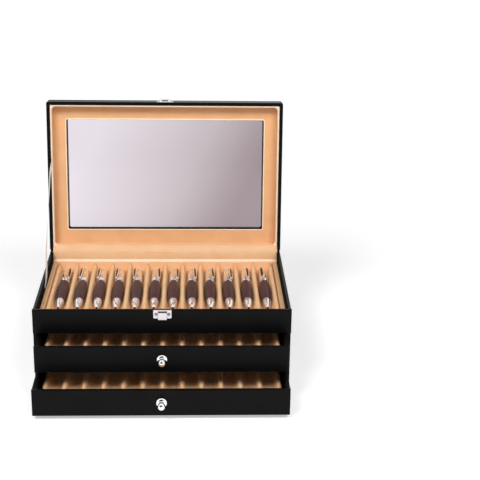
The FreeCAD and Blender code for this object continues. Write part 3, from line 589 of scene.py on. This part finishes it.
slotted_heads("clasp_screw_heads", "clasp_screws", CLASP_SCREWS, CASE_FRONT, (70, 100), "case")
slotted_heads("catch_screw_heads", "lid_catch_screws", CATCH_SCREWS, -LID_DEPTH, (20, 110),
              "lid", LID)

# ---- the lid's padded lining and the mat's rolled edge ----

LINER_CORNER = 5 * MM
# the padding's section: (share of the way to the wall, height in the lid in mm)
LINING_SECTION = [(0.98, 15.25), (0.0, 15.25), (-0.03, 13.5), (-0.10, 10), (-0.13, 7),
                  (-0.10, 4.2), (-0.02, 2.6), (0.10, 1.75), (0.28, 1.2), (0.5, 1.05),
                  (0.74, 1.2), (0.90, 1.7), (0.98, 2.6)]
# the section's faces that are its rolled edge along the rim, which take the lighter cream of the painted highlight
RIM_HIGHLIGHT_FACES = range(5, 12)

# how far the mat's edge is set back from the window, at the sides and rear and at the front
MAT_REVEAL, MAT_REVEAL_FRONT = 2 * MM, 0.2 * MM
MAT_CORNER = 2 * MM
EDGE_ROLL = 0.8 * MM
EDGE_OUT = 0.6 * EDGE_ROLL
EDGE_UP = MAT_FACE + 0.1 * MM


def rounded_loop(half, front, rear, corner, per_corner=9):
    """(corner centre, direction) all round a rectangle with round corners, in the lid's frame."""
    spots = []
    for n, (sx, y) in enumerate(((1, rear), (-1, rear), (-1, front), (1, front))):
        sy = 1 if y == rear else -1
        centre = Vector((sx * (half - corner), y - sy * corner, 0))
        for step in range(per_corner):
            angle = math.pi / 2 * (n + step / (per_corner - 1))
            spots.append((centre, Vector((math.cos(angle), math.sin(angle), 0))))
    return spots


def lid_lining():
    """One padded ring round the lid's inner walls, with a rolled edge along the rim in the lighter cream of a
    painted highlight.
    """
    inset = LID_WALL + LINER
    loop = rounded_loop(LID_HALF - inset, inset - LID_DEPTH, -inset, LINER_CORNER)
    points = []
    for centre, way in loop:
        # the walls behind the padding meet at square corners
        reach = min(1 / max(abs(way.x), 1e-6), 1 / max(abs(way.y), 1e-6))
        inner = centre + way * LINER_CORNER
        outer = centre + way * (LINER_CORNER + LINER) * reach
        for share, height in LINING_SECTION:
            spot = inner.lerp(outer, share)
            points.append((spot.x, spot.y, height * MM))
    faces = flipped(grid(len(loop), len(LINING_SECTION), ring=True, loop=True))
    ring = piece("lid_lining_padded", [(points, faces)], lining, "lid", LID,
                 smooth=60)
    ring.data.materials.append(rolled_edge_painted_highlight)
    for face in ring.data.polygons:
        face.material_index = int(face.index % len(LINING_SECTION) in RIM_HIGHLIGHT_FACES)
    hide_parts("lid_liner_front", "lid_liner_rear", "lid_liner_left", "lid_liner_right")


def mat_edge():
    """The roll of fabric along the mat's edge, round the window, in the lighter cream of a painted highlight."""
    loop = rounded_loop(WINDOW_HALF + MAT_REVEAL, WINDOW_FRONT - MAT_REVEAL_FRONT,
                        WINDOW_REAR + MAT_REVEAL, MAT_CORNER, 5)
    turns = 10
    points = []
    for centre, way in loop:
        for n in range(turns):
            angle = 2 * math.pi * n / turns
            spot = centre + way * (MAT_CORNER + EDGE_OUT + EDGE_ROLL * math.cos(angle))
            points.append((spot.x, spot.y, EDGE_UP + EDGE_ROLL * math.sin(angle)))
    faces = flipped(grid(len(loop), turns, ring=True, loop=True))
    piece("lid_mat_rolled_edge", [(points, faces)], rolled_edge_painted_highlight, "lid", LID)


lid_lining()
mat_edge()

# ---- stitching round the lid's outside and its window ----

STITCH = 3.0 * MM
STITCH_GAP = 1.3 * MM
STITCH_RADIUS = 0.24 * MM
# a stitch's thin ends are sunk in the leatherette, and its middle stands up
STITCH_SUNK = 0.12 * MM
STITCH_BOW = 0.2 * MM
STITCH_TIP = 0.55
STITCH_RINGS, STITCH_SIDES = 5, 6
# how far the rows lie from the lid's outer edge and from the window, and their corners
OUTER_ROW, OUTER_CORNER = 4.5 * MM, 2.5 * MM
WINDOW_ROW, WINDOW_CORNER = 3.5 * MM, 3 * MM


def stitches(half, front, rear, corner):
    """Short sunk stitches in a row round a rounded rectangle on the lid's outer face."""
    loop = [centre + way * corner for centre, way in rounded_loop(half, front, rear, corner, 7)]
    parts = []
    for a, b in zip(loop, loop[1:] + loop[:1]):
        length = (b - a).length
        # the short runs round the corners have none
        if length < STITCH * 2:
            continue
        way = (b - a) / length
        side = Vector((-way.y, way.x, 0))
        count = int(length // (STITCH + STITCH_GAP))
        pitch = length / count
        for n in range(count):
            start = a + way * (pitch * n + STITCH_GAP / 2)
            points = []
            for ring in range(STITCH_RINGS):
                share = ring / (STITCH_RINGS - 1)
                swell = math.sin(math.pi * share)
                lift = LID_TOP - STITCH_SUNK + STITCH_BOW * swell
                thick = STITCH_RADIUS * (STITCH_TIP + (1 - STITCH_TIP) * swell)
                centre = start + way * (pitch - STITCH_GAP) * share
                for turn in range(STITCH_SIDES):
                    angle = 2 * math.pi * turn / STITCH_SIDES
                    spot = centre + side * thick * math.cos(angle)
                    points.append((spot.x, spot.y, lift + thick * math.sin(angle)))
            parts.append((points, tube(STITCH_RINGS, STITCH_SIDES)))
    return parts


lid_stitches = stitches(LID_HALF - OUTER_ROW, OUTER_ROW - LID_DEPTH, -OUTER_ROW, OUTER_CORNER)
lid_stitches += stitches(WINDOW_HALF + WINDOW_ROW, WINDOW_FRONT - WINDOW_ROW,
                         WINDOW_REAR + WINDOW_ROW, WINDOW_CORNER)
piece("lid_stitching", lid_stitches, thread, "lid", LID, smooth=80)

# ---- fabric of the hinge ----

HINGE_HALF = 145.7 * MM
# the way the hinge strip looks, out of the joint
OUTWARD = Vector((0, -0.75, 0.66))
# the strip's course in mm: (back, up) from the foot of its CAD node, and then, in the lid,
# (out of the padding's face, up)
STRIP_CASE = ((0.1, 0), (-0.15, 5), (0.1, 9.5), (1.0, 12.8), (3.0, 15.7), (5.4, 17.8))
STRIP_LID = ((0.2, 1.2), (0.5, 4), (0.35, 8), (0.1, 12), (0, 15.15))
STRIP_CLEAR = 0.35 * MM
# the strip's faint folds, its puff near the ends and the pinch right at them
FOLD, PUFF, PINCH = 0.35 * MM, 1.1 * MM, 1.8 * MM
PUFF_FROM_END = 6 * MM
END_RUN = 4 * MM


def hinge_lining():
    """The soft strip from the compartment's rear wall, over the joint, to the lid's mat."""
    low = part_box("hinge_liner")[0]
    face = -LID_WALL - LINER - STRIP_CLEAR
    over = [Vector((0, low.y + back * MM, low.z + up * MM)) for back, up in STRIP_CASE]
    over += [lid_point(face - out * MM, up * MM) for out, up in STRIP_LID]
    columns = 97
    points = []
    for n in range(columns):
        x = HINGE_HALF * (2 * n / (columns - 1) - 1)
        to_end = HINGE_HALF - abs(x)
        pinch = 1 - smoothstep(to_end / END_RUN)
        puff = math.exp(-((to_end - PUFF_FROM_END) / END_RUN) ** 2)
        for k, spot in enumerate(over):
            share = k / (len(over) - 1)
            bow = math.sin(math.pi * share)
            fold = noise.noise(Vector((x * 55, share * 3.0, 1.7)))
            point = spot + OUTWARD * bow * (FOLD * fold + PUFF * puff - PINCH * pinch)
            points.append((x, point.y, point.z))
    # the strip in the paler cream of its painted highlight
    sheet = piece("hinge_lining_soft", [(points, grid(columns, len(over)))], satin_painted_highlight,
                  None, smooth=80)
    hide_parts("hinge_liner")
    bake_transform(sheet)


# the roll's half depth and half height, and how far its middle lies before the liner and below the
# strip's foot
ROLL_DEEP, ROLL_HIGH = 2.0 * MM, 2.5 * MM
ROLL_FORWARD, ROLL_DROP = 1.0 * MM, 0.1 * MM
# it thins to this share over this run at each end, and is a little uneven along its length
ROLL_END_SHARE, ROLL_END_RUN = 0.75, 5 * MM
ROLL_UNEVEN = 0.05


def rear_roll():
    """The rolled edge of lining along the foot of the hinge strip, above the tray, in the lighter cream of a
    painted highlight.
    """
    low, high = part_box("case_rear_liner")
    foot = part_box("hinge_liner")[0].z
    columns, turns = 61, 12
    points = []
    for n in range(columns):
        x = high.x * (2 * n / (columns - 1) - 1)
        from_end = smoothstep((high.x - abs(x)) / ROLL_END_RUN)
        plump = ROLL_END_SHARE + (1 - ROLL_END_SHARE) * from_end
        plump += ROLL_UNEVEN * noise.noise(Vector((x * 40, 5.1, 0)))
        for k in range(turns):
            angle = 2 * math.pi * k / turns
            points.append((x, low.y - ROLL_FORWARD + ROLL_DEEP * plump * math.cos(angle),
                           foot - ROLL_DROP + ROLL_HIGH * plump * math.sin(angle)))
    roll = piece("rear_rolled_edge", [(points, tube(columns, turns))], rolled_edge_painted_highlight,
                 "case", smooth=60)


# how far the strip outside stands off the back, and how much further at the joint
COVER_OUT = 0.62 * MM
COVER_BULGE = 0.25 * MM


def hinge_cover():
    """The leatherette strip that wraps round the joint outside."""
    low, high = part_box("hinge_leather_strip")
    y = low.y + COVER_OUT
    over = [Vector((0, y, low.z)), Vector((0, y, low.z + 5 * MM)),
            Vector((0, y, HINGE.z - 2 * MM)), Vector((0, y + COVER_BULGE, HINGE.z - 0.3 * MM)),
            lid_point(COVER_OUT + COVER_BULGE, 0.9 * MM), lid_point(COVER_OUT, 2.5 * MM),
            lid_point(COVER_OUT, 7 * MM), lid_point(COVER_OUT, 12 * MM)]
    columns = 61
    points = []
    for n in range(columns):
        x = high.x * (2 * n / (columns - 1) - 1)
        points += [(x, spot.y, spot.z) for spot in over]
    cover = piece("hinge_cover", [(points, flipped(grid(columns, len(over))))], leather,
                  None, smooth=80)
    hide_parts("hinge_leather_strip")
    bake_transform(cover)


RIBBON_HALF = 3 * MM
RIBBON_TWIST = math.radians(-30)
# its foot is down in the compartment, and its head (y, z in the lid's frame) at the lid's rim
RIBBON_FOOT_Y = -8 * MM
RIBBON_SUNK = 1.5 * MM
RIBBON_HEAD = (-121 * MM, 0.9 * MM)
# the ribbon bows to the right just over its foot and at its head, and to the left between them
BOW_RIGHT, BOW_LEFT = 0.9 * MM, 1.9 * MM


def ribbon_stay():
    """The flat ribbon between the compartment's side and the lid's rim, with a slight slack."""
    low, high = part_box("stay_ribbon")
    x = (low.x + high.x) / 2
    foot = Vector((x, RIBBON_FOOT_Y, low.z - RIBBON_SUNK))
    head = lid_point(*RIBBON_HEAD)
    head.x = x
    way = (head - foot).normalized()
    # the ribbon's width lies along Y at its foot, and along the lid's depth at its head
    foot_across = Vector((0, RIBBON_HALF, 0))
    head_across = Vector((0, LID[1][1], LID[2][1])) * -RIBBON_HALF
    rows = 41
    points = []
    for n in range(rows):
        share = n / (rows - 1)
        bow = BOW_RIGHT * smoothstep(share * 12)
        bow -= BOW_LEFT * smoothstep(share * 4 - 0.3) * smoothstep((1 - share) * 8)
        middle = foot.lerp(head, share) + Vector((bow, 0, 0))
        across = foot_across.lerp(head_across, smoothstep(share))
        twist = Matrix.Rotation(RIBBON_TWIST * math.sin(math.pi * share) ** 0.35, 3, way)
        points += [middle + (twist @ across) * side for side in (-1, -0.33, 0.33, 1)]
    ribbon = piece("ribbon_stay", [(points, grid(rows, 4))], ribbon_satin, None,
                   smooth=80)
    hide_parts("stay_ribbon")
    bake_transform(ribbon)


hinge_lining()
rear_roll()
hinge_cover()
ribbon_stay()

# ---- camera ----

CAMERA_AT = Vector((0.0309, -1.3704, 0.6575))
PITCH, YAW, ROLL = math.radians(20.06), math.radians(2.58), math.radians(0.97)
# the focal length in widths of the picture
FOCAL_WIDTHS = 1198.3 / 480


def add_camera():
    data = bpy.data.cameras.new("camera")
    data.sensor_width = 36
    data.lens = FOCAL_WIDTHS * data.sensor_width
    data.clip_end = 50
    camera = bpy.data.objects.new("camera", data)
    bpy.context.scene.collection.objects.link(camera)
    forward = Vector((math.sin(YAW) * math.cos(PITCH), math.cos(YAW) * math.cos(PITCH),
                      -math.sin(PITCH)))
    right = Vector((math.cos(YAW), -math.sin(YAW), 0))
    up = right.cross(forward)
    rolled_right = right * math.cos(ROLL) + up * math.sin(ROLL)
    rolled_up = up * math.cos(ROLL) - right * math.sin(ROLL)
    facing = Matrix((rolled_right, rolled_up, -forward)).transposed().to_4x4()
    camera.matrix_world = Matrix.Translation(CAMERA_AT) @ facing
    bpy.context.scene.camera = camera


add_camera()

# ---- floor, dark card, white room and lamps ----

FLOOR_HALF = 6
FLOOR_GREY = 0.9
# the floor's glow: (metres from the middle, strength) where it starts to grow and where it is full
GLOW_NEAR, GLOW_FAR = (0.4, 0.45), (2.4, 0.95)
CARD_Y = -2.1
ROOM_LIGHT = 0.15
WHITE = (1, 1, 1, 1)


def white_room_rays(owner):
    """A node that is 1 for the rays that find a white room: camera, transmission and glossy."""
    rays = add_node(owner, "LightPath")
    first = add_node(owner, "Math", operation="MAXIMUM")
    both = add_node(owner, "Math", operation="MAXIMUM")
    join(owner, rays, "Is Camera Ray", first, 0)
    join(owner, rays, "Is Transmission Ray", first, 1)
    join(owner, first, 0, both, 0)
    join(owner, rays, "Is Glossy Ray", both, 1)
    return both


def quad(name, corners, material):
    mesh = bpy.data.meshes.new(name)
    mesh.from_pydata(corners, [], [(0, 1, 2, 3)])
    mesh.materials.append(material)
    obj = bpy.data.objects.new(name, mesh)
    bpy.context.scene.collection.objects.link(obj)
    return obj


def floor_paper():
    """Pale paper; the less the lamps light it, the more it glows, to a nearly even white."""
    paper = bpy.data.materials.new("floor_paper")
    paper.use_nodes = True
    paper.node_tree.nodes.clear()
    matt = add_node(paper, "BsdfDiffuse", Color=(FLOOR_GREY, FLOOR_GREY, FLOOR_GREY, 1))
    glow = add_node(paper, "Emission")
    place = add_node(paper, "NewGeometry")
    away = add_node(paper, "VectorMath", operation="LENGTH")
    growing = add_node(paper, "MapRange", From_Min=GLOW_NEAR[0], From_Max=GLOW_FAR[0],
                       To_Min=GLOW_NEAR[1], To_Max=GLOW_FAR[1])
    strength = add_node(paper, "Math", operation="MULTIPLY")
    both = add_node(paper, "AddShader")
    join(paper, place, "Position", away, 0)
    join(paper, away, "Value", growing, "Value")
    join(paper, growing, "Result", strength, 0)
    join(paper, white_room_rays(paper), 0, strength, 1)
    join(paper, strength, 0, glow, "Strength")
    join(paper, matt, 0, both, 0)
    join(paper, glow, 0, both, 1)
    join(paper, both, 0, add_node(paper, "OutputMaterial"), "Surface")
    return paper


floor = quad("floor", [(x * FLOOR_HALF, y * FLOOR_HALF, cad_low.z)
                       for x, y in ((-1, -1), (1, -1), (1, 1), (-1, 1))], floor_paper())

# a dark card behind the camera, seen only in the reflections of the metal and the pane
card = quad("dark_card", [(-2.9, CARD_Y, 0.35), (0.9, CARD_Y, 0.35), (0.4, CARD_Y, 4.5),
                          (-0.5, CARD_Y, 4.5)],
            look("dark_card_look", (0.01, 0.01, 0.01), 1.0, Specular_IOR_Level=0.0))
for ray in ("camera", "diffuse", "transmission", "shadow"):
    setattr(card, "visible_" + ray, False)


def light_room():
    """A white room to look at, which lights the object only faintly."""
    world = bpy.data.worlds.new("studio")
    bpy.context.scene.world = world
    world.use_nodes = True
    dim = world.node_tree.nodes["Background"]
    dim.inputs["Color"].default_value = WHITE
    dim.inputs["Strength"].default_value = ROOM_LIGHT
    white = add_node(world, "Background", Color=WHITE)
    choose = add_node(world, "MixShader")
    join(world, white_room_rays(world), 0, choose, "Fac")
    join(world, dim, 0, choose, 1)
    join(world, white, 0, choose, 2)
    join(world, choose, 0, world.node_tree.nodes["World Output"], "Surface")


def soft_box(name, spot, aim, size, watts):
    data = bpy.data.lights.new(name, "AREA")
    data.shape = "RECTANGLE"
    data.size, data.size_y = size
    data.energy = watts
    lamp = bpy.data.objects.new(name, data)
    bpy.context.scene.collection.objects.link(lamp)
    lamp.location = spot
    lamp.rotation_euler = (Vector(aim) - Vector(spot)).to_track_quat("-Z", "Y").to_euler()
    # the metal mirrors the white room and the dark card, and no small bright squares
    lamp.visible_glossy = False


light_room()
soft_box("key_left", (-0.75, -1.2, 1.6), (0, 0, 0.1), (0.8, 0.8), 25)
soft_box("key_right", (0.75, -1.2, 1.6), (0, 0, 0.1), (0.8, 0.8), 18.5)
soft_box("low_fill", (0, -2.4, 0.8), (0, 0, 0.2), (1.6, 0.8), 3.5)

bpy.context.scene.view_settings.view_transform = "Standard"
